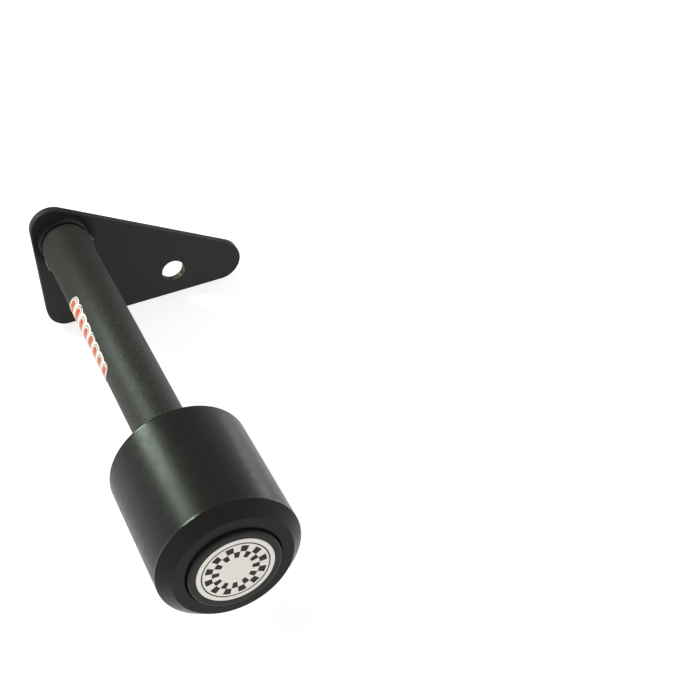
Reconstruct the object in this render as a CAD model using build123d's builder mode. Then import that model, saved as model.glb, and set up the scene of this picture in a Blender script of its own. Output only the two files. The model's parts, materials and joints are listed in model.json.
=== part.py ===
from build123d import *
import os
from math import cos, radians, sin, tan

os.makedirs("parts", exist_ok=True)

# The origin is the centre of the frame bolt hole on the plate's frame-side face.
# -Y points away from the motorcycle, +Z is up, and the plate's bottom edge runs along +X to its tip.
# All sizes are in millimetres.

# Tube
tube_diameter = 25.4
tube_wall = 2.5
tube_length = 178
tube_end_run = 3.5
tube_end_drop = 1.4

# Plate: a right-angled triangle with round corners, its square corner at the bottom behind the tube
plate_thickness = 5
plate_edge_round = 0.7
tube_to_hole = 58.4
tube_above_hole = 42.2
rear_edge_to_tube = 16
bottom_edge_to_hole = 15
heel_radius = 12
heel_above_tube = 6.5
foot_radius = 11
tip_radius = 12.6
tip_ahead_of_hole = 27.9
frame_hole_diameter = 13.5
hole_edge_break = 0.4

# Round boss between the plate and the tube
boss_diameter = 26.8
boss_thickness = 4.5
boss_edge_round = 0.5
boss_edge_break = 0.3
boss_weld_leg = 0.5

# Fasteners, all of one thread size
bolt_diameter = 12
bolt_hole_clearance = 1
thread_gap = 0.1
bolt_tip_chamfer = 1.2
plate_bolt_length = 30
hex_across_flats = 18
hex_head_height = 7.5
washer_face_height = 0.6
washer_face_diameter = 16.6
hex_crown_radius = 8.5
hex_crown_angle = 30
puck_bolt_length = 50
cap_head_diameter = 18
cap_head_height = 12
cap_head_round = 1.2
socket_across_flats = 10
socket_depth = 6
washer_diameter = 24
washer_thickness = 2.5
washer_edge_break = 0.3

# Threaded plugs inside the tube's ends
plug_length = 25
plug_fit = 0.05
plug_edge_chamfer = 1
plug_lead_in = 0.9

# Plug welds: two opposite holes at each end, filled and left proud
weld_hole_diameter = 8
weld_from_tube_end = 10
weld_bead_length = 15
weld_bead_width = 12
weld_height = 1.1
weld_edge_height = 0.2
weld_slope_width = 3
weld_film = 0.02
inner_weld_angle = 14
outer_weld_angle = 0

# Puck
puck_diameter = 64
puck_length = 71
puck_chamfer = 5.5
puck_edge_round = 0.5
puck_web = 30
head_bore_diameter = 28
recess_diameter = 42
recess_depth = 9
recess_edge_break = 0.3

# End cap in the puck's recess
cap_gap = 0.5
cap_proud = 2
cap_edge_round = 1.1
cap_web = 3
cap_skirt_wall = 2.4
cap_band_height = 2.5
cap_band_fit = 0.05
cap_band_lead = 0.8

# Badge disc let into the cap
badge_diameter = 34.4
badge_thickness = 0.8
badge_gap = 0.1
badge_below_rim = 0.1
badge_edge_break = 0.15

# Wrap-round label on the tube, wider at the end towards the plate
label_thickness = 0.2
label_film = 0.02
label_length = 57
label_from_boss = 60
label_wide = 17
label_narrow = 13
label_slant = 5
label_corner_round = 2.2
label_angle = 180

# Stations along the slider, measured outwards from the plate's frame-side face
boss_start = plate_thickness
tube_start = boss_start + boss_thickness
puck_start = tube_start + tube_length
puck_end = puck_start + puck_length
recess_floor = puck_end - recess_depth
washer_start = puck_start + puck_web
cap_head_start = washer_start + washer_thickness
cap_rim = puck_end + cap_proud

# Radii that more than one piece uses
tube_radius = tube_diameter / 2
tube_bore_radius = tube_radius - tube_wall
plug_radius = tube_bore_radius - plug_fit
bolt_radius = bolt_diameter / 2
bolt_hole_radius = (bolt_diameter + bolt_hole_clearance) / 2
frame_hole_radius = frame_hole_diameter / 2
thread_bore_radius = (bolt_diameter + thread_gap) / 2
puck_radius = puck_diameter / 2
puck_face_radius = puck_radius - puck_chamfer
recess_radius = recess_diameter / 2
cap_radius = recess_radius - cap_gap
badge_radius = badge_diameter / 2

# Places of the tube's axis and the plate's corners
tube_x = -tube_to_hole
tube_z = tube_above_hole
slider_axis = Axis((tube_x, 0, tube_z), (0, -1, 0))


def slider_plane(station, angle=0):
    """Plane across the slider, its normal outwards and its x turned by angle from +X towards +Z."""
    across = (cos(radians(angle)), 0, sin(radians(angle)))
    return Plane(origin=(tube_x, -station, tube_z), x_dir=across, z_dir=(0, -1, 0))


def section_plane():
    """Plane through the slider's axis: x is the radius and y the station."""
    return Plane(origin=(tube_x, 0, tube_z), x_dir=(1, 0, 0), z_dir=(0, 0, -1))


def weld_stations():
    """The two weld rows, each as its station and its angle around the tube."""
    inner = (tube_start + weld_from_tube_end, inner_weld_angle)
    outer = (puck_start - weld_from_tube_end, outer_weld_angle)
    return {"inner": inner, "outer": outer}


# Plate: the hull of its three corner circles, heel, foot and tip, with rounded rims
frame_hole = (tube_to_hole, -tube_above_hole)
bottom_edge = -tube_above_hole - bottom_edge_to_hole
heel = (heel_radius - rear_edge_to_tube, heel_above_tube)
foot = (foot_radius - rear_edge_to_tube, bottom_edge + foot_radius)
tip = (tube_to_hole + tip_ahead_of_hole, bottom_edge + tip_radius)

with BuildPart() as plate:
    with BuildSketch(slider_plane(0)):
        with Locations(heel):
            Circle(heel_radius)
        with Locations(foot):
            Circle(foot_radius)
        with Locations(tip):
            Circle(tip_radius)
        make_hull()
    extrude(amount=plate_thickness)
    broad_faces = plate.faces().sort_by(SortBy.AREA)[-2:]
    fillet(broad_faces.edges(), radius=plate_edge_round)
    with Locations(slider_plane(plate_thickness)):
        Hole(bolt_hole_radius, depth=plate_thickness)
        with Locations(frame_hole):
            Hole(frame_hole_radius, depth=plate_thickness)
    hole_rims = plate.edges().filter_by(GeomType.CIRCLE).filter_by(lambda rim: rim.is_closed)
    frame_hole_mouth = hole_rims.sort_by(Axis.X).group_by(Axis.X)[-1].sort_by(Axis.Y)[0]
    chamfer(frame_hole_mouth, length=hole_edge_break)
plate.part.label = "plate"
export_step(plate.part, "parts/plate.step")

# Boss: a short ring, its outer rim rounded, with a small hollow weld round its foot
with BuildPart() as boss:
    with BuildSketch(slider_plane(boss_start)):
        Circle(boss_diameter / 2)
        Circle(bolt_hole_radius, mode=Mode.SUBTRACT)
    extrude(amount=boss_thickness)
    hole_mouths, outer_rims = boss.edges().filter_by(GeomType.CIRCLE).group_by(SortBy.RADIUS)
    chamfer(hole_mouths, length=boss_edge_break)
    fillet(outer_rims.sort_by(Axis.Y)[0], radius=boss_edge_round)
    with BuildSketch(section_plane()):
        weld_foot = boss_diameter / 2 + boss_weld_leg
        weld_top = boss_start + boss_weld_leg
        weld_root = boss_diameter / 2 - boss_edge_break
        with BuildLine():
            RadiusArc((weld_foot, boss_start), (boss_diameter / 2, weld_top), -boss_weld_leg)
            Polyline(
                (boss_diameter / 2, weld_top),
                (weld_root, weld_top),
                (weld_root, boss_start),
                (weld_foot, boss_start),
            )
        make_face()
    revolve(axis=slider_axis)
boss.part.label = "plate_boss"
export_step(boss.part, "parts/plate_boss.step")

# Tube: ends rolled in along a quarter of an ellipse, and the holes that the plug welds fill
end_radius = tube_radius - tube_end_drop
with BuildPart() as tube:
    with BuildSketch(section_plane()):
        with BuildLine():
            low_end = (end_radius, tube_start + tube_end_run)
            high_end = (end_radius, puck_start - tube_end_run)
            EllipticalCenterArc(low_end, tube_end_drop, tube_end_run, start_angle=270, arc_size=90)
            Line((tube_radius, tube_start + tube_end_run), (tube_radius, puck_start - tube_end_run))
            EllipticalCenterArc(high_end, tube_end_drop, tube_end_run, start_angle=0, arc_size=90)
            Polyline(
                (end_radius, puck_start),
                (tube_bore_radius, puck_start),
                (tube_bore_radius, tube_start),
                (end_radius, tube_start),
            )
        make_face()
    revolve(axis=slider_axis)
    for station, angle in weld_stations().values():
        with Locations(slider_plane(station, angle)):
            Cylinder(weld_hole_diameter / 2, 2 * tube_diameter, rotation=(0, 90, 0), mode=Mode.SUBTRACT)
tube.part.label = "tube"
export_step(tube.part, "parts/tube.step")

# Threaded plugs: turned rings, flush with the tube's ends
plug_ends = {"inner": (tube_start, tube_start + plug_length), "outer": (puck_start - plug_length, puck_start)}
for end, (low, high) in plug_ends.items():
    with BuildPart() as plug:
        with BuildSketch(section_plane()):
            with BuildLine():
                Polyline(
                    (thread_bore_radius + plug_lead_in, low),
                    (plug_radius - plug_edge_chamfer, low),
                    (plug_radius, low + plug_edge_chamfer),
                    (plug_radius, high - plug_edge_chamfer),
                    (plug_radius - plug_edge_chamfer, high),
                    (thread_bore_radius + plug_lead_in, high),
                    (thread_bore_radius, high - plug_lead_in),
                    (thread_bore_radius, low + plug_lead_in),
                    close=True,
                )
            make_face()
        revolve(axis=slider_axis)
    plug.part.label = f"{end}_plug"
    export_step(plug.part, f"parts/{end}_plug.step")

# Plug welds: a nugget in each hole under a proud, flat-topped oval bead
nugget_radius = weld_hole_diameter / 2 - weld_film
slope_drop = weld_height - weld_edge_height
bead_span = 2 * weld_bead_length
for end, (station, angle) in weld_stations().items():
    across = slider_plane(station, angle)
    side_on = Plane(origin=across.origin, x_dir=across.z_dir, z_dir=across.x_dir)
    with BuildPart() as welds:
        with BuildSketch(side_on):
            Ellipse(weld_bead_length / 2, weld_bead_width / 2)
        extrude(amount=tube_diameter, both=True)
        with Locations(across):
            Cylinder(tube_radius + weld_height, bead_span, mode=Mode.INTERSECT)
        for crown in welds.faces().filter_by(GeomType.CYLINDER):
            chamfer(crown.edges(), length=weld_slope_width, length2=slope_drop, reference=crown)
        with Locations(across):
            Cylinder(tube_radius + weld_film, bead_span, mode=Mode.SUBTRACT)
            Cylinder(nugget_radius, tube_diameter + weld_edge_height, rotation=(0, 90, 0))
            Cylinder(plug_radius + weld_film, bead_span, mode=Mode.SUBTRACT)
    welds.part.label = f"{end}_plug_welds"
    export_step(welds.part, f"parts/{end}_plug_welds.step")

# Hexagon bolt on the frame side: washer face, crowned head and shank
with BuildPart() as plate_bolt:
    with BuildSketch(slider_plane(-washer_face_height)):
        RegularPolygon(hex_across_flats / 2, 6, major_radius=False)
    extrude(amount=washer_face_height - hex_head_height)
    with BuildSketch(slider_plane(0)):
        Circle(washer_face_diameter / 2)
    extrude(amount=-washer_face_height)
    with BuildSketch(section_plane()):
        with BuildLine():
            Polyline(
                (0, plate_bolt_length),
                (bolt_radius - bolt_tip_chamfer, plate_bolt_length),
                (bolt_radius, plate_bolt_length - bolt_tip_chamfer),
                (bolt_radius, -washer_face_height),
                (0, -washer_face_height),
                close=True,
            )
        make_face()
    revolve(axis=slider_axis)
    with BuildSketch(section_plane()):
        crown_run = hex_across_flats / 2
        crown_drop = crown_run * tan(radians(hex_crown_angle))
        with BuildLine():
            Polyline(
                (0, -hex_head_height),
                (hex_crown_radius, -hex_head_height),
                (hex_crown_radius + crown_run, crown_drop - hex_head_height),
                (hex_crown_radius + crown_run, plate_bolt_length),
                (0, plate_bolt_length),
                close=True,
            )
        make_face()
    revolve(axis=slider_axis, mode=Mode.INTERSECT)
plate_bolt.part.label = "plate_bolt"
export_step(plate_bolt.part, "parts/plate_bolt.step")

# Puck: turned bar with wide chamfers, a bolt hole, a head bore and the cap's recess
with BuildPart() as puck:
    with BuildSketch(section_plane()):
        with BuildLine():
            Polyline(
                (bolt_hole_radius, puck_start),
                (puck_face_radius, puck_start),
                (puck_radius, puck_start + puck_chamfer),
                (puck_radius, puck_end - puck_chamfer),
                (puck_face_radius, puck_end),
                (recess_radius, puck_end),
                (recess_radius, recess_floor),
                (head_bore_diameter / 2, recess_floor),
                (head_bore_diameter / 2, washer_start),
                (bolt_hole_radius, washer_start),
                close=True,
            )
        make_face()
    revolve(axis=slider_axis)
    rims = puck.edges().filter_by(GeomType.CIRCLE)
    land_rims = rims.filter_by(lambda rim: rim.radius > puck_face_radius - puck_edge_round)
    fillet(land_rims, radius=puck_edge_round)
    recess_mouth = puck.edges().filter_by(GeomType.CIRCLE).filter_by(
        lambda rim: abs(rim.radius - recess_radius) < recess_edge_break).sort_by(Axis.Y)[0]
    chamfer(recess_mouth, length=recess_edge_break)
puck.part.label = "puck"
export_step(puck.part, "parts/puck.step")

# Washer under the puck bolt's head
with BuildPart() as washer:
    with BuildSketch(slider_plane(washer_start)):
        Circle(washer_diameter / 2)
        Circle(bolt_hole_radius, mode=Mode.SUBTRACT)
    extrude(amount=washer_thickness)
    chamfer(washer.edges().filter_by(GeomType.CIRCLE), length=washer_edge_break)
washer.part.label = "puck_washer"
export_step(washer.part, "parts/puck_washer.step")

# Socket head bolt that clamps the puck to the tube's outer plug
with BuildPart() as puck_bolt:
    with BuildSketch(section_plane()):
        with BuildLine():
            bolt_tip = cap_head_start - puck_bolt_length
            cap_head_top = cap_head_start + cap_head_height
            Polyline(
                (0, bolt_tip),
                (bolt_radius - bolt_tip_chamfer, bolt_tip),
                (bolt_radius, bolt_tip + bolt_tip_chamfer),
                (bolt_radius, cap_head_start),
                (cap_head_diameter / 2, cap_head_start),
                (cap_head_diameter / 2, cap_head_top),
                (0, cap_head_top),
                close=True,
            )
        make_face()
    revolve(axis=slider_axis)
    fillet(puck_bolt.edges().filter_by(GeomType.CIRCLE).sort_by(Axis.Y)[0], radius=cap_head_round)
    with BuildSketch(slider_plane(cap_head_top)):
        RegularPolygon(socket_across_flats / 2, 6, major_radius=False)
    extrude(amount=-socket_depth, mode=Mode.SUBTRACT)
puck_bolt.part.label = "puck_bolt"
export_step(puck_bolt.part, "parts/puck_bolt.step")

# End cap: a shallow cup with a pocket for the badge and a press band round its skirt
with BuildPart() as end_cap:
    with BuildSketch(section_plane()):
        pocket_floor = cap_rim - badge_thickness - badge_below_rim
        pocket_radius = badge_radius + badge_gap
        skirt_bore = cap_radius - cap_skirt_wall
        band_radius = recess_radius - cap_band_fit
        band_top = recess_floor + cap_band_height
        with BuildLine():
            Polyline(
                (0, pocket_floor),
                (pocket_radius, pocket_floor),
                (pocket_radius, cap_rim),
                (cap_radius, cap_rim),
                (cap_radius, band_top),
                (band_radius, band_top - (band_radius - cap_radius)),
                (band_radius, recess_floor + cap_band_lead),
                (band_radius - cap_band_lead, recess_floor),
                (skirt_bore, recess_floor),
                (skirt_bore, pocket_floor - cap_web),
                (0, pocket_floor - cap_web),
                close=True,
            )
        make_face()
    revolve(axis=slider_axis)
    cap_shoulder = end_cap.edges().filter_by(GeomType.CIRCLE).sort_by(Axis.Y).filter_by(
        lambda rim: abs(rim.radius - cap_radius) < cap_band_fit)[0]
    fillet(cap_shoulder, radius=cap_edge_round)
end_cap.part.label = "end_cap"
export_step(end_cap.part, "parts/end_cap.step")

# Badge: a thin disc that lies in the cap's pocket
with BuildPart() as badge:
    with BuildSketch(slider_plane(pocket_floor)):
        Circle(badge_radius)
    extrude(amount=badge_thickness)
    chamfer(badge.faces().sort_by(Axis.Y)[0].edges(), length=badge_edge_break)
badge.part.label = "cap_badge"
export_step(badge.part, "parts/cap_badge.step")

# Label: a thin wrap cut to a slanted, tapering outline with rounded corners
label_start = tube_start + label_from_boss
label_middle = slider_plane(label_start + label_length / 2, label_angle)
label_face = Plane(origin=label_middle.origin, x_dir=label_middle.z_dir, z_dir=label_middle.x_dir)
with BuildPart() as label:
    with BuildSketch(slider_plane(label_start - label_slant)):
        Circle(tube_radius + label_film + label_thickness)
        Circle(tube_radius + label_film, mode=Mode.SUBTRACT)
    extrude(amount=label_length + 2 * label_slant)
    with BuildSketch(label_face) as outline:
        with BuildLine():
            Polyline(
                (-label_length / 2 - label_slant / 2, -label_wide / 2),
                (label_length / 2 - label_slant / 2, -label_narrow / 2),
                (label_length / 2 + label_slant / 2, label_narrow / 2),
                (-label_length / 2 + label_slant / 2, label_wide / 2),
                close=True,
            )
        make_face()
        fillet(outline.vertices(), radius=label_corner_round)
    extrude(amount=tube_diameter, mode=Mode.INTERSECT)
label.part.label = "tube_label"
export_step(label.part, "parts/tube_label.step")
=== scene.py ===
import json
import math

import bpy
import numpy as np
from mathutils import Matrix, Vector


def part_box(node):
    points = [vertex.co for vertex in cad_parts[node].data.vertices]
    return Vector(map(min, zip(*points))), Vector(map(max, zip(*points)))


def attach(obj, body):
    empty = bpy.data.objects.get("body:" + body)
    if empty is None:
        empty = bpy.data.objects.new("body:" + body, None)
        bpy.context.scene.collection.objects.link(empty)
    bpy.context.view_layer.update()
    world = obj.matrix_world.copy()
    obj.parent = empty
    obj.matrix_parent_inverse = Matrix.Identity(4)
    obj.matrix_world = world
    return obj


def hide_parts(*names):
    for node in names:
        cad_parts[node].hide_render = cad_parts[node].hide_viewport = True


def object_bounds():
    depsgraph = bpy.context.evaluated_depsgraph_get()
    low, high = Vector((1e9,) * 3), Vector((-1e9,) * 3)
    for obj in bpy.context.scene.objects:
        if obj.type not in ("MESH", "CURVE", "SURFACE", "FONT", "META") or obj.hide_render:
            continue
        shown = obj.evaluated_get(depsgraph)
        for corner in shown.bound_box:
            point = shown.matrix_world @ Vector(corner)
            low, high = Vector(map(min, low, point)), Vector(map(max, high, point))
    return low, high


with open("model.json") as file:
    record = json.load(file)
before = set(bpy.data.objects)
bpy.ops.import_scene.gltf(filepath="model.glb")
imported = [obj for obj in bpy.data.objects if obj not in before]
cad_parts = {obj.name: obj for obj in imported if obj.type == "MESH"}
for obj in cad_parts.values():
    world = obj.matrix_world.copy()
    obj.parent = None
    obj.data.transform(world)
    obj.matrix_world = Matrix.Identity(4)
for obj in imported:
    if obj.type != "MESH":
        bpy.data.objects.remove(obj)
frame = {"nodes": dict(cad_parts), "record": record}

# The frame's origin is the frame bolt hole, -Y points out to the puck and +Z is up. Lengths are in metres.
cadBox = [list(corner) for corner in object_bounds()]
nodes = frame["nodes"]
print("frame loaded:", len(nodes), "CAD nodes")

# Places read from the frame that several pieces and finishes share
tubeLow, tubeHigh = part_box("tube")
puckLow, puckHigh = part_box("puck")
plugLow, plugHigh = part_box("inner_plug")
labelLow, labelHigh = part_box("tube_label")
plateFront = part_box("plate")[0].y
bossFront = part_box("plate_boss")[0].y
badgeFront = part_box("cap_badge")[0].y
axisX = (puckLow.x + puckHigh.x) / 2  # the slider's long axis is parallel to Y
axisZ = (puckLow.z + puckHigh.z) / 2
tubeRadius = (tubeHigh.x - tubeLow.x) / 2
puckRadius = (puckHigh.x - puckLow.x) / 2
plugRadius = (plugHigh.x - plugLow.x) / 2
mounts = {mount["name"]: mount for mount in frame["record"]["mounts"]}
holeRadius = mounts["frame_hole"]["dims"]["r_mm"] / 1000
film = 0.00002  # gap between the tube and what lies on it


# Shader arithmetic: a Value wraps a socket, and Python's operators add Math nodes

class Value:
    def __init__(self, finish, socket):
        self.finish, self.socket = finish, socket

    def math(self, operation, *others):
        return self.finish.math(operation, self, *others)

    def __add__(self, other):
        return self.math("ADD", other)

    def __radd__(self, other):
        return self.finish.math("ADD", other, self)

    def __sub__(self, other):
        return self.math("SUBTRACT", other)

    def __rsub__(self, other):
        return self.finish.math("SUBTRACT", other, self)

    def __mul__(self, other):
        return self.math("MULTIPLY", other)

    def __rmul__(self, other):
        return self.finish.math("MULTIPLY", other, self)

    def __truediv__(self, other):
        return self.math("DIVIDE", other)

    def __rtruediv__(self, other):
        return self.finish.math("DIVIDE", other, self)

    def __gt__(self, other):
        return self.math("GREATER_THAN", other)

    def __lt__(self, other):
        return self.math("LESS_THAN", other)

    def __abs__(self):
        return self.math("ABSOLUTE")

    def within(self, low, high):  # 1 between low and high, 0 outside
        return (self > low) * (self < high)

    def swing(self, amount):  # how far a noise is above or below its middle, times amount
        return (self - 0.5) * amount

    def ramp(self, low, high, toLow=0.0, toHigh=1.0):  # smooth step from toLow at low to toHigh at high
        values = {"Value": self, "From Min": low, "From Max": high, "To Min": toLow, "To Max": toHigh}
        return self.finish.node("ShaderNodeMapRange", {"interpolation_type": "SMOOTHSTEP"}, values)


class Finish:  # nodes of one material, or of the world; its constants go straight onto the shader's sockets
    def __init__(self, name, constants, kind="materials", shader="Principled BSDF"):
        self.made = getattr(bpy.data, kind).new(name)
        self.made.use_nodes = True
        self.tree = self.made.node_tree
        self.shader = self.tree.nodes[shader]
        self.give(self.shader, constants)

    def give(self, node, values):
        for key, value in values.items():
            socket = node.inputs[key]
            if isinstance(value, Value):
                self.tree.links.new(value.socket, socket)
            else:
                socket.default_value = value

    def node(self, kind, settings={}, values={}, output=0):
        made = self.tree.nodes.new(kind)
        for key, value in settings.items():
            setattr(made, key, value)
        self.give(made, values)
        return Value(self, made.outputs[output])

    def math(self, operation, *inputs):
        return self.node("ShaderNodeMath", {"operation": operation}, dict(enumerate(inputs)))

    def point(self):  # the surface point in the frame, in metres
        return self.node("ShaderNodeTexCoord", output="Object")

    def parts(self, vector):  # x, y and z of a vector
        split = self.node("ShaderNodeSeparateXYZ", values={"Vector": vector}).socket.node
        return [Value(self, output) for output in split.outputs]

    def onAxis(self, station=0.0):  # across, along and up from the slider's long axis, at a station on it
        moved = {"Vector": self.point(), "Location": (-axisX, station, -axisZ)}
        return self.parts(self.node("ShaderNodeMapping", {}, moved))

    def lathe(self, radius, along):  # a track along the axis and across the end faces, for turned lines
        return self.node("ShaderNodeCombineXYZ", {}, {"X": radius + along})

    def noise(self, size, detail, roughness, vector=None):  # grains about size metres across
        values = {"Scale": 1 / size, "Detail": detail, "Roughness": roughness}
        return self.node("ShaderNodeTexNoise", {}, {"Vector": vector or self.point(), **values})

    def mix(self, share, first, second):  # colour from first to second
        return self.node("ShaderNodeMix", {"data_type": "RGBA"}, {0: share, 6: first, 7: second}, output=2)

    def bump(self, height, depth, below=None):  # height 0 to 1 over depth metres
        values = {"Height": height, "Distance": depth, "Strength": 1.0}
        if below:
            values["Normal"] = below
        return self.node("ShaderNodeBump", {}, values)

    def set(self, **inputs):
        names = {"color": "Base Color", "roughness": "Roughness", "metallic": "Metallic", "normal": "Normal"}
        self.give(self.shader, {names[key]: value for key, value in inputs.items()})
        return self.made

    def rays(self):  # 1 for camera, glossy and transmission rays in turn
        path = self.node("ShaderNodeLightPath").socket.node
        names = ("Is Camera Ray", "Is Glossy Ray", "Is Transmission Ray")
        return [Value(self, path.outputs[name]) for name in names]


def rgb(red, green, blue):  # linear colour with alpha
    return (red, green, blue, 1.0)


def distance(first, second):  # of a point from an axis, by its two offsets
    return (first * first + second * second).math("SQRT")


# Surfaces: rows of rings that close round themselves, each skin closed by a point at both ends

def skinFaces(rings):
    # corners are numbered row by row; a quad joins two neighbours of one row to the same two of the next row,
    # and a fan joins the first and the last row to its own middle
    rows, count = rings.shape[:2]
    first = np.arange(rows * count).reshape(rows, count)
    after = np.roll(first, -1, axis=1)
    quads = np.stack([first[:-1], after[:-1], after[1:], first[1:]], axis=-1).reshape(-1, 4)
    start, end = rows * count, rows * count + 1
    fans = [np.stack([after[0], first[0], np.full(count, start)], axis=-1),
            np.stack([first[-1], after[-1], np.full(count, end)], axis=-1)]
    points = np.concatenate([rings.reshape(-1, 3), rings[:1].mean(axis=1), rings[-1:].mean(axis=1)])
    return points, quads, np.concatenate(fans)


def place(name, data):
    placed = bpy.data.objects.new(name, data)
    bpy.context.scene.collection.objects.link(placed)
    return placed


def skinPiece(name, skins, crease=40):  # one object of several skins, each turned so that it faces outwards
    points, faces, offset = [], [], 0
    for rings in skins:
        spots, quads, fans = skinFaces(rings)
        triangles = np.concatenate([quads[:, :3], quads[:, [0, 2, 3]], fans])
        a, b, c = (spots[triangles[:, corner]] for corner in range(3))
        outward = 1 if np.einsum("ij,ij->", a, np.cross(b, c)) > 0 else -1  # the sign of the volume inside
        faces += (quads[:, ::outward] + offset).tolist() + (fans[:, ::outward] + offset).tolist()
        points += spots.tolist()
        offset += len(spots)
    mesh = bpy.data.meshes.new(name)
    mesh.from_pydata(points, [], faces)
    mesh.polygons.foreach_set("use_smooth", np.ones(len(faces), dtype=bool))
    mesh.set_sharp_from_angle(angle=math.radians(crease))
    return place(name, mesh)


def onTube(station, angle, along, side, radius):
    # a spot at an angle round the tube, then a straight side step across it: the rise over the axis is the
    # root of radius squared less side squared, so the spot stays on the radius; y is station plus along, outwards
    rise = np.sqrt(radius ** 2 - side ** 2)
    x = axisX + rise * math.cos(angle) - side * math.sin(angle)
    z = axisZ + rise * math.sin(angle) + side * math.cos(angle)
    return np.stack(np.broadcast_arrays(x, -(station + along), z), axis=-1)


# Finishes. A noise is given by its size across, detail and roughness, and a span is where a smooth step starts
# and ends. Of a noise or a mark, Share says how much it colours, Rough and Smooth what it adds to the roughness
# or takes from it, and Depth how deep its bump is.

coat = {
    "dark": rgb(0.0165, 0.0142, 0.0125),
    "light": rgb(0.050, 0.051, 0.043),
    "brown": rgb(0.056, 0.045, 0.041),
    "specular": 0.19,
    "roughness": 0.50,
    "grain": (0.0011, 3.0, 0.6),
    "grainSpan": (0.38, 0.66),
    "grainShare": 0.75,
    "grainRough": 0.25,
    "grainDepth": 0.00017,
    "peel": (0.0022, 3.0, 0.6),
    "peelDepth": 0.00009,
    "patches": (0.006, 3.0, 0.6),
    "patchMiddle": 0.3,
    "patchShare": 0.35,
    "patchRough": 0.15,
    "tint": (0.003, 3.0, 0.7),  # where the grains are brown and where they are light
    "tintSpan": (0.42, 0.58),
    "dullAndShade": (-0.14, -0.02),  # span in Y, up to the end by the plate, which is rougher there and has painted shade
    # how much the painted shade by the plate darkens the colour
    "paintedShadeShare": 0.85,
    "dullRough": 0.25,
    "tops": (0.0003, 0.0011),  # span in height over the tube, up to the weld beads' tops
    "topSmooth": 0.45,
}


def tubeCoat():  # textured powder coat: fine grains over a soft orange peel, rougher towards the plate, with painted shade darkening it there
    finish = Finish("tube_powder_coat", {"Specular IOR Level": coat["specular"]})
    across, along, up = finish.onAxis()
    dullAndShade = along.ramp(*coat["dullAndShade"])
    tops = (distance(across, up) - tubeRadius).ramp(*coat["tops"])
    grain = finish.noise(*coat["grain"])
    peel = finish.noise(*coat["peel"])
    patches = finish.noise(*coat["patches"])
    share = grain.ramp(*coat["grainSpan"]) * coat["grainShare"]
    # painted shade: towards the plate fewer pale grains show, so the coat is darker there
    share = (share + (patches - coat["patchMiddle"]) * coat["patchShare"]) * (1 - dullAndShade * coat["paintedShadeShare"])
    pale = finish.mix(finish.noise(*coat["tint"]).ramp(*coat["tintSpan"]), coat["brown"], coat["light"])
    color = finish.mix(share, coat["dark"], pale)
    roughness = coat["roughness"] + grain.swing(coat["grainRough"]) + patches.swing(coat["patchRough"])
    roughness = roughness + dullAndShade * coat["dullRough"] - tops * coat["topSmooth"]
    normal = finish.bump(grain, coat["grainDepth"], finish.bump(peel, coat["peelDepth"]))
    return finish.set(color=color, roughness=roughness, normal=normal)


paint = {
    "dark": rgb(0.0075, 0.0072, 0.0070),
    "light": rgb(0.0195, 0.0186, 0.0175),
    "fade": (-0.04, 0.006, 0.42, 0.85),  # span in X from the tube to the tip, and how light the paint is: painted light, darker by the tube and paler at the tip
    "specular": 0.25,
    "roughness": 0.42,
    "peel": (0.0016, 2.0, 0.5),
    "peelDepth": 0.00003,
    "cloud": (0.015, 3.0, 0.5),
    "cloudShare": 0.4,
    "cloudRough": 0.12,
    "specks": (0.0007, 1.0, 0.5),
    "speckSpan": (0.72, 0.76),
    "speckShare": 0.35,
    "speck": rgb(0.12, 0.12, 0.12),
    # painted shade where the boss and the plate meet the tube's foot, which is also made rougher
    "footShade": rgb(0.0035, 0.0032, 0.003),
    "footShadeReach": (0.0078, 0.0013),  # span in distance from the tube
    "footShadeBehind": (0.0002, 0.0009),  # span behind the boss's front
    "footShadeShare": 0.28,
    "footShadeRough": 0.4,
    "rim": 0.0004,  # this far behind the plate's front the cut edge begins
    "rimRough": 0.25,
    "bare": rgb(0.10, 0.105, 0.055),
    "bareReach": 0.0001,  # how far the worn metal reaches into the paint round the hole
    "bareLean": 0.8,
    "bareSide": (0.003, 0.0065),  # span towards the low right side of the hole
    "wear": (0.003, 2.0, 0.5),
    "wearSpan": (0.42, 0.60),
    "bareMetallic": 0.3,
}


def platePaint():  # satin paint with painted light, darker by the tube and paler at the tip, painted shade at the tube's foot, worn in the hole's low side
    finish = Finish("plate_paint", {"Specular IOR Level": paint["specular"]})
    x, y, z = finish.parts(finish.point())
    peel = finish.noise(*paint["peel"])
    cloud = finish.noise(*paint["cloud"])
    specks = finish.noise(*paint["specks"]).ramp(*paint["speckSpan"])
    # painted light: darker by the tube and paler towards the tip, with random clouds over it
    paintedLightAndCloud = x.ramp(*paint["fade"]) + cloud.swing(paint["cloudShare"])
    coated = finish.mix(paintedLightAndCloud, paint["dark"], paint["light"])
    dusty = finish.mix(specks * paint["speckShare"], coated, paint["speck"])
    # painted shade round the tube's foot, behind the boss's front
    reach = (distance(x - axisX, z - axisZ) - tubeRadius).ramp(*paint["footShadeReach"])
    footShade = reach * (y - bossFront).ramp(*paint["footShadeBehind"])
    footShaded = finish.mix(footShade * paint["footShadeShare"], dusty, paint["footShade"])
    lowSide = (x - z * paint["bareLean"]).ramp(*paint["bareSide"])
    wear = finish.noise(*paint["wear"]).ramp(*paint["wearSpan"])
    bare = wear * lowSide * (distance(x, z) < holeRadius + paint["bareReach"])
    color = finish.mix(bare, footShaded, paint["bare"])
    roughness = paint["roughness"] + cloud.swing(paint["cloudRough"]) + footShade * paint["footShadeRough"]
    roughness = roughness + (y > plateFront + paint["rim"]) * paint["rimRough"]
    normal = finish.bump(peel, paint["peelDepth"])
    return finish.set(color=color, roughness=roughness, metallic=bare * paint["bareMetallic"], normal=normal)


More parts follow.
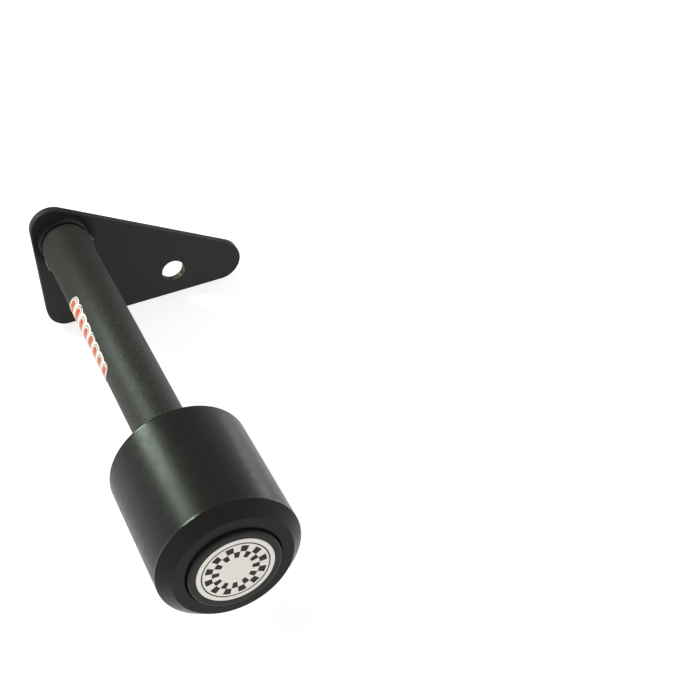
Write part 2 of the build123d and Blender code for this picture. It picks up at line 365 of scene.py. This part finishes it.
plastic = {
    "dark": rgb(0.0128, 0.0112, 0.0102),
    "light": rgb(0.0195, 0.0176, 0.0163),
    "specular": 0.145,
    "roughness": 0.32,
    "lines": (0.00022, 2.0, 0.6),
    "lineShare": 0.4,
    "lineRough": 0.14,
    "lineDepth": 0.000012,
    "bands": (0.003, 2.0, 0.5),
    "bandRough": 0.08,
    "cloud": (0.012, 3.0, 0.5),
    "cloudShare": 0.6,
    "silk": (0.004, 3.0, 0.6),
    "silkSpan": (0.36, 0.66),
    "silkRough": 0.07,
    "grain": (0.0006, 2.0, 0.5),
    "grainDepth": 0.00001,
    "specks": (0.0009, 1.0, 0.5),
    "speckSpan": (0.74, 0.77),
    "speckShare": 0.12,
    "speck": rgb(0.14, 0.14, 0.14),
    "chamfer": 0.0055,
    "sideSkin": 0.0001,  # what lies no deeper than this belongs to the puck's side
    "lip": (0.0012, 0.0),  # span in distance from the front chamfer
    "lipHeight": 0.00014,
    "worn": (0.0012, 0.00072),  # span in distance from the back chamfer
    "edgeSmooth": 0.2,
}


def puckPlastic():  # turned plastic: fine lines round the axis, faint clouds, a few scuffs, two shiny edges
    finish = Finish("puck_plastic", {"Specular IOR Level": plastic["specular"]})
    across, along, up = finish.onAxis()
    radius = distance(across, up)
    track = finish.lathe(radius, along)
    lines = finish.noise(*plastic["lines"], track)
    bands = finish.noise(*plastic["bands"], track)
    cloud = finish.noise(*plastic["cloud"])
    grain = finish.noise(*plastic["grain"])
    silk = finish.noise(*plastic["silk"]).ramp(*plastic["silkSpan"])
    specks = finish.noise(*plastic["specks"]).ramp(*plastic["speckSpan"])
    share = cloud * plastic["cloudShare"] + lines * plastic["lineShare"]
    turned = finish.mix(share, plastic["dark"], plastic["light"])
    color = finish.mix(specks * plastic["speckShare"], turned, plastic["speck"])
    side = radius > puckRadius - plastic["sideSkin"]
    front, back = puckLow.y + plastic["chamfer"], puckHigh.y - plastic["chamfer"]
    lip = (along - front).ramp(*plastic["lip"]) * side  # a faint lip left where the front chamfer starts
    worn = (back - along).ramp(*plastic["worn"]) * side  # the edge of the back chamfer is worn smooth
    roughness = plastic["roughness"] + lines.swing(plastic["lineRough"]) + bands.swing(plastic["bandRough"])
    roughness = roughness + silk.swing(plastic["silkRough"]) - (lip + worn) * plastic["edgeSmooth"]
    lipped = finish.bump(lip, plastic["lipHeight"])
    normal = finish.bump(lines, plastic["lineDepth"], finish.bump(grain, plastic["grainDepth"], lipped))
    return finish.set(color=color, roughness=roughness, normal=normal)


cap = {
    "dark": rgb(0.0125, 0.012, 0.012),
    "light": rgb(0.019, 0.0185, 0.0185),
    "specular": 0.24,
    "roughness": 0.40,
    "cloud": (0.008, 2.0, 0.5),
    "stipple": (0.0004, 2.0, 0.5),
    "stippleRough": 0.15,
    "stippleDepth": 0.000015,
}


def capPlastic():  # moulded plastic with a fine stipple
    finish = Finish("cap_plastic", {"Specular IOR Level": cap["specular"]})
    stipple = finish.noise(*cap["stipple"])
    color = finish.mix(finish.noise(*cap["cloud"]), cap["dark"], cap["light"])
    roughness = cap["roughness"] + stipple.swing(cap["stippleRough"])
    return finish.set(color=color, roughness=roughness, normal=finish.bump(stipple, cap["stippleDepth"]))


badge = {
    "silver": rgb(0.93, 0.89, 0.82),
    "shade": rgb(0.84, 0.80, 0.74),
    "print": rgb(0.025, 0.02, 0.026),
    "specular": 0.2,
    "roughness": 0.42,
    "metallic": 0.4,
    "brushed": (0.0006, 3.0, 0.6),
    "brushedShare": 0.25,
    "brushedRough": 0.1,
    "squares": 12,  # dark ones in each row
    "rows": (0.0072, 0.0104, 0.0136),  # radii of the two rows of squares
    "ring": (0.0145, 0.0151),
    "printSkin": 0.0003,  # what lies no deeper than this belongs to the disc's face
}


def badgePrint():  # chequered ring on satin silver, from the angle and the radius round the disc's centre
    finish = Finish("badge_silver", {"Specular IOR Level": badge["specular"]})
    across, along, up = finish.onAxis()
    radius = distance(across, up)
    turn = up.math("ARCTAN2", across) * (badge["squares"] / math.pi)
    square = turn.math("FLOORED_MODULO", 2.0) > 1.0
    inner, middle, outer = badge["rows"]
    rows = radius.within(inner, middle) * square + radius.within(middle, outer) * (1 - square)
    ink = (rows + radius.within(*badge["ring"])) * (along < badgeFront + badge["printSkin"])
    brushed = finish.noise(*badge["brushed"])
    silver = finish.mix(brushed * badge["brushedShare"], badge["silver"], badge["shade"])
    color = finish.mix(ink, silver, badge["print"])
    roughness = badge["roughness"] + brushed.swing(badge["brushedRough"])
    return finish.set(color=color, roughness=roughness, metallic=(1 - ink) * badge["metallic"])


bolt = {
    "dark": rgb(0.03, 0.029, 0.028),
    "light": rgb(0.075, 0.07, 0.064),
    "specular": 0.5,
    "roughness": 0.38,
    "mottle": (0.0025, 3.0, 0.6),
    "mottleRough": 0.2,
    "mottleMetallic": (0.3, 0.6, 0.5, 0.9),  # span in the mottle, and how metallic it is there
    "grain": (0.0003, 2.0, 0.5),
    "grainDepth": 0.00001,
}


def blackSteel():  # blackened bolts, a little browner, rougher and more metallic where they are pale
    finish = Finish("black_steel", {"Specular IOR Level": bolt["specular"]})
    mottle = finish.noise(*bolt["mottle"])
    color = finish.mix(mottle, bolt["dark"], bolt["light"])
    roughness = bolt["roughness"] + mottle.swing(bolt["mottleRough"])
    metallic = mottle.ramp(*bolt["mottleMetallic"])
    normal = finish.bump(finish.noise(*bolt["grain"]), bolt["grainDepth"])
    return finish.set(color=color, roughness=roughness, metallic=metallic, normal=normal)


plug = {
    "dark": rgb(0.42, 0.41, 0.40),
    "light": rgb(0.62, 0.61, 0.59),
    "specular": 0.5,
    "roughness": 0.3,
    "metallic": 1.0,
    "lines": (0.00018, 2.0, 0.6),
    "lineRough": 0.2,
    "lineDepth": 0.000012,
}


def turnedSteel():  # bright lathe-turned plugs and washer, lines round the axis
    finish = Finish("turned_steel", {"Specular IOR Level": plug["specular"], "Metallic": plug["metallic"]})
    across, along, up = finish.onAxis()
    lines = finish.noise(*plug["lines"], finish.lathe(distance(across, up), along))
    color = finish.mix(lines, plug["dark"], plug["light"])
    roughness = plug["roughness"] + lines.swing(plug["lineRough"])
    return finish.set(color=color, roughness=roughness, normal=finish.bump(lines, plug["lineDepth"]))


label = {
    "length": 0.061,
    "wide": 0.0185,
    "narrow": 0.0120,
    "slant": 0.3,
    "back": 0.0032,  # how much nearer to the plate its middle is than the plain sheet's
    "raised": 0.0009,  # how far its middle line lies above half height, round the tube
    "thickness": 0.0002,
    "bars": 8,
    "notch": 0.11,  # share of the width that is cut away between the bars
    "notchPower": 3,
    "endPower": 30,  # the higher, the squarer the ends
    "rows": 361,
    "columns": 25,
    "lastRow": 0.995,
    "bar": (0.56, 0.74),  # a bar's half size along and across, as shares of its place
    "barPowers": (3.0, 5.0, 0.25),  # the shape of its corners
    "barSwing": 0.16,  # how far bars differ in height
    "ink": (1.02, 0.98),  # span across a bar's edge
    "line": (1.16, 1.29),
    "lineShare": 0.85,
    "fade": (-0.7, 0.4),  # span in height over which amber turns into red
    "fadeShare": 0.8,
    "redLeast": 0.1,
    "smear": (0.0012, 3.0, 0.6),
    "smearShare": 0.6,
    "smearRough": 0.1,
    "white": rgb(0.93, 0.87, 0.81),
    "outline": rgb(0.035, 0.035, 0.03),
    "red": rgb(0.66, 0.045, 0.03),
    "amber": rgb(0.84, 0.36, 0.12),
    "specular": 0.15,
    "roughness": 0.34,
}
labelMiddle = -(labelLow.y + labelHigh.y) / 2 - label["back"]  # station of its centre


def labelPrint():  # slanted rounded bars, red at the top, each inside a thin dark line on white vinyl
    finish = Finish("label_print", {"Specular IOR Level": label["specular"]})
    across, along, up = finish.onAxis(labelMiddle)
    side = up.math("ARCTAN2", across * -1) * tubeRadius - label["raised"]
    share = (side * -label["slant"] - along) / label["length"] + 0.5
    half = share * ((label["narrow"] - label["wide"]) / 2) + label["wide"] / 2
    bar = share * label["bars"]
    number = bar.math("FLOOR")
    chance = finish.node("ShaderNodeTexWhiteNoise", {"noise_dimensions": "1D"}, {"W": number})
    halfBar, halfHeight = label["bar"]
    barPower, heightPower, power = label["barPowers"]
    height = side / half
    inBar = abs((bar - number) * 2 - 1) / halfBar
    inHeight = abs(height + chance.swing(label["barSwing"])) / halfHeight
    edge = (inBar.math("POWER", barPower) + inHeight.math("POWER", heightPower)).math("POWER", power)
    smear = finish.noise(*label["smear"])
    fade = height.ramp(*label["fade"]) * label["fadeShare"] + label["redLeast"]
    red = finish.mix(fade + smear.swing(label["smearShare"]), label["amber"], label["red"])
    ground = finish.mix(edge.within(*label["line"]) * label["lineShare"], label["white"], label["outline"])
    color = finish.mix(edge.ramp(*label["ink"]), ground, red)
    return finish.set(color=color, roughness=label["roughness"] + smear.swing(label["smearRough"]))


finishes = {
    "plate_paint": platePaint(),
    "tube_powder_coat": tubeCoat(),
    "puck_plastic": puckPlastic(),
    "cap_plastic": capPlastic(),
    "badge_silver": badgePrint(),
    "black_steel": blackSteel(),
    "turned_steel": turnedSteel(),
    "label_print": labelPrint(),
}
for part in frame["record"]["subparts"]:
    for slot in nodes[part["node"]].material_slots:
        slot.material = finishes[part["material_slot"]]
print("finishes made:", len(finishes))


# Weld beads: irregular flat-topped mounds over the plug holes

weld = {
    "hole": 0.004,
    "halfLength": 0.0074,
    "halfWidth": 0.0060,
    "columns": 96,  # points round a ring
    "rings": (0.02, 1, 26),  # how far out the first and the last ring of the top are, and their number
    "crown": 1.4,  # the higher, the flatter the top
    "rimWaves": (2, 3, 5),  # waves round the rim
    "rimSwing": (0.02, 0.06),  # least and most height of a wave, as a share of the rim's size
    "ripples": 9,
    "pitch": 1800,  # the most that a ripple turns in a metre, in radians
    "phase": 6.3,  # the most that a wave or a ripple is shifted, in radians
    "calm": 5,  # what the ripples' sum is divided by
    "under": (0.33, 0.66, 1),  # rows of the underside, from the rim to the hole's edge
    "nugget": (1, 0.6, 0.2),  # rows at the plug, from the hole's edge to its middle
    "beads": {  # angle round the tube, middle and peak past the hole, height, height's share in ripples, seed
        "inner": [
            {"angle": 14, "shift": -0.0026, "peak": 0.0010, "height": 0.0013, "ripple": 0.5, "seed": 5},
            {"angle": 194, "shift": 0.0, "peak": 0.0028, "height": 0.0011, "ripple": 0.2, "seed": 4},
        ],
        "outer": [
            {"angle": 0, "shift": -0.0025, "peak": 0.0, "height": 0.0012, "ripple": 0.2, "seed": 7},
            {"angle": 180, "shift": -0.0018, "peak": 0.001, "height": 0.0009, "ripple": 0.3, "seed": 8},
        ],
    },
}


def beadRings(station, bead):
    # top: each ring is a wavy oval, its share of the half length and half width, round a middle that goes
    # from the peak to the shift; the height over the tube is the squared cosine of a quarter turn times the
    # share to the power of crown, times one plus the ripples; below, rows shrink to the hole and go to the plug
    chance = np.random.default_rng(bead["seed"])
    angle = math.radians(bead["angle"])
    turn = np.linspace(0, 2 * math.pi, weld["columns"], endpoint=False)
    phase = weld["phase"]
    waves = [1 + sum(chance.uniform(*weld["rimSwing"]) * np.cos(k * turn + chance.uniform(0, phase))
                     for k in weld["rimWaves"]) for axis in range(2)]
    share = np.linspace(*weld["rings"])[:, None]
    along = bead["shift"] + (1 - share) * bead["peak"] + share * weld["halfLength"] * waves[0] * np.cos(turn)
    side = share * weld["halfWidth"] * waves[1] * np.sin(turn)
    pitch = chance.uniform(-weld["pitch"], weld["pitch"], (weld["ripples"], 2))
    ripple = sum(np.cos(a * along + b * side + chance.uniform(0, phase)) for a, b in pitch) / weld["calm"]
    mound = np.cos(math.pi / 2 * share ** weld["crown"]) ** 2 * (1 + bead["ripple"] * ripple)
    seat = tubeRadius + film
    rows = [onTube(station, angle, along, side, seat + bead["height"] * mound)]
    holeAlong, holeSide = (weld["hole"] - film) * np.array([np.cos(turn), np.sin(turn)])
    for blend in weld["under"]:
        under = (1 - blend) * along[-1] + blend * holeAlong
        across = (1 - blend) * side[-1] + blend * holeSide
        rows.append(onTube(station, angle, under, across, seat)[None])
    for reach in weld["nugget"]:
        rows.append(onTube(station, angle, reach * holeAlong, reach * holeSide, plugRadius + film)[None])
    return np.concatenate(rows)


for end, pair in weld["beads"].items():
    low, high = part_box(end + "_plug_welds")
    beads = skinPiece(end + "_weld_beads", [beadRings(-(low.y + high.y) / 2, bead) for bead in pair])
    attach(beads, "root")
    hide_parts(end + "_plug_welds")
    beads.data.materials.append(finishes["tube_powder_coat"])
print("weld beads made")


# Label: a thin sheet round the tube, its edge notched between the bars

def labelRings():
    # each row across is a straight taper from wide to narrow, less a notch that grows with the power of the
    # distance from the nearest bar's middle, times square ends; a point's side is its share of that width,
    # its station shifts by the slant times the side, and its angle is side plus raised over the tube's radius
    reach = np.linspace(-1, 1, label["rows"]) * math.pi / 2 * label["lastRow"]
    along = label["length"] / 2 * np.sin(reach)
    share = along / label["length"] + 0.5
    taper = label["wide"] / 2 + share * (label["narrow"] - label["wide"]) / 2
    lobe = 1 - label["notch"] * np.abs(2 * (share * label["bars"] % 1) - 1) ** label["notchPower"]
    width = taper * lobe * np.sqrt(1 - np.abs(2 * share - 1) ** label["endPower"])
    over = np.linspace(-1, 1, label["columns"])
    inner = tubeRadius + film
    rows = []
    for across, radius in ((over, inner + label["thickness"]), (over[::-1], inner)):
        side = width[:, None] * across
        turn = (side + label["raised"]) / tubeRadius
        station = labelMiddle + along[:, None] + label["slant"] * side
        x, z = axisX - radius * np.cos(turn), axisZ + radius * np.sin(turn)
        rows.append(np.stack([x, -station, z], axis=-1))
    return np.concatenate(rows, axis=1)


sheet = skinPiece("label_sheet", [labelRings()])
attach(sheet, "root")
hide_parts("tube_label")
sheet.data.materials.append(finishes["label_print"])
print("label made")


# Stage, light and camera

white = rgb(1.0, 1.0, 1.0)
black = rgb(0.0, 0.0, 0.0)

sky = {
    "horizon": 1.35,
    "overhead": 0.5,
    "behind": 0.35,
    "lift": (0.0, 0.7),  # span in height from the horizon's light to the one overhead
    "backing": (0.6, 0.95),  # span towards +Y, where the light falls off
    "backdrop": (0.05, 0.25),  # span in height over which the white that metal shows ends
}


def skyWorld():  # bright at the horizon, dim overhead and far behind the plate, plain white where it is seen
    world = Finish("studio", {"Color": white}, "worlds", "Background")
    y, z = world.parts(world.node("ShaderNodeTexCoord"))[1:]
    light = z.ramp(*sky["lift"], sky["horizon"], sky["overhead"])
    light = light * y.ramp(*sky["backing"], 1.0, sky["behind"])
    direct, glossy, through = world.rays()
    seen = direct + (glossy + through) * z.ramp(*sky["backdrop"], 1.0, 0.0)
    world.give(world.shader, {"Strength": light * (1 - seen) + seen})
    bpy.context.scene.world = world.made


stage = {
    "size": 6.0,
    "color": rgb(0.45, 0.45, 0.45),
    "specular": 0.1,
    "roughness": 0.9,
    "glow": rgb(0.76, 0.76, 0.76),  # makes the floor white where it is seen, and lights nothing
}


def floorSheet():  # a square at the height of the plate's bottom edge
    half, height = stage["size"] / 2, cadBox[0][2]
    corners = [(-half, -half, height), (half, -half, height), (half, half, height), (-half, half, height)]
    mesh = bpy.data.meshes.new("floor")
    mesh.from_pydata(corners, [], [(0, 1, 2, 3)])
    finish = Finish("floor", {"Base Color": stage["color"], "Roughness": stage["roughness"],
                              "Specular IOR Level": stage["specular"], "Emission Strength": 1.0})
    direct, glossy, through = finish.rays()
    glow = finish.mix(direct + glossy + through, black, stage["glow"])
    finish.give(finish.shader, {"Emission Color": glow})
    mesh.materials.append(finish.made)
    place("floor", mesh)


def direction(azimuth, height):  # azimuth from +Y towards +X and height over the level, both in degrees
    azimuth, height = math.radians(azimuth), math.radians(height)
    level = math.cos(height)
    return Vector((math.sin(azimuth) * level, math.cos(azimuth) * level, math.sin(height)))


lamps = {  # azimuth, height and distance are from the puck's middle
    "window": {
        "azimuth": -28.4,
        "height": 27.5,
        "distance": 1.09,
        "size": 0.33,
        "power": 8.9,
        "color": (0.82, 1.0, 0.84),
    },
    "rightSoft": {
        "azimuth": 64,
        "height": 1,
        "distance": 1.0,
        "size": 0.58,
        "power": 3.3,
        "color": (0.84, 0.92, 1.0),
    },
}


def hangLamp(name, lamp):
    data = bpy.data.lights.new(name, "AREA")
    data.shape, data.size, data.energy, data.color = "DISK", lamp["size"], lamp["power"], lamp["color"]
    toLamp = direction(lamp["azimuth"], lamp["height"])
    hung = place(name, data)
    hung.location = Vector((axisX, (puckLow.y + puckHigh.y) / 2, axisZ)) + toLamp * lamp["distance"]
    hung.rotation_euler = toLamp.to_track_quat("Z", "Y").to_euler()


camera = {  # azimuth and height are where it looks
    "place": (-0.1573, -0.60104, 0.45962),
    "azimuth": 24.06,
    "height": -40.66,
    "roll": -1.60,
    "lens": 68.484,
    "sensor": 36.0,
    "nearest": 0.01,
}


def setCamera():
    data = bpy.data.cameras.new("camera")
    data.lens, data.sensor_width, data.clip_start = camera["lens"], camera["sensor"], camera["nearest"]
    aimed = direction(camera["azimuth"], camera["height"]).to_track_quat("-Z", "Y").to_matrix()
    turned = aimed @ Matrix.Rotation(math.radians(camera["roll"]), 3, "Z")
    placed = place("camera", data)
    placed.matrix_world = Matrix.Translation(camera["place"]) @ turned.to_4x4()
    bpy.context.scene.camera = placed


skyWorld()
floorSheet()
for name, lamp in lamps.items():
    hangLamp(name, lamp)
setCamera()
bpy.context.scene.view_settings.view_transform = "Standard"
print("stage, lamps and camera set")
